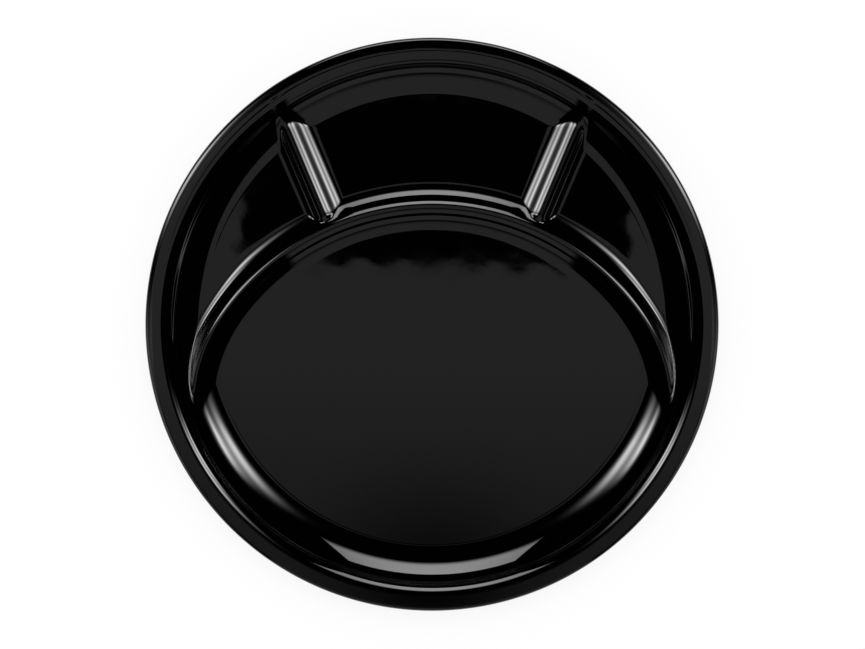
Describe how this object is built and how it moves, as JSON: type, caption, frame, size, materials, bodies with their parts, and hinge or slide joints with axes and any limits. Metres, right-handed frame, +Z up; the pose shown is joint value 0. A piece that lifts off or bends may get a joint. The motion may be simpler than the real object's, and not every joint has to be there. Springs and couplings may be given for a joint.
{
  "type": "fondue plate",
  "caption": "Round black glazed stoneware plate with one large well and a crescent of sauce compartments behind a curved ridge.",
  "frame": {"origin": "middle of the plane that the foot ring rests on", "axes": "+Z up, +Y towards the sauce compartments, +X to the right as the plate is used"},
  "size_m": [0.24, 0.24, 0.0185],
  "materials": {
    "stoneware": "matte",
    "black_glaze": "polished"
  },
  "bodies": {
    "root": {"stoneware_body": "stoneware", "glaze_coat": "black_glaze", "base_glaze": "black_glaze"}
  },
  "joints": []
}
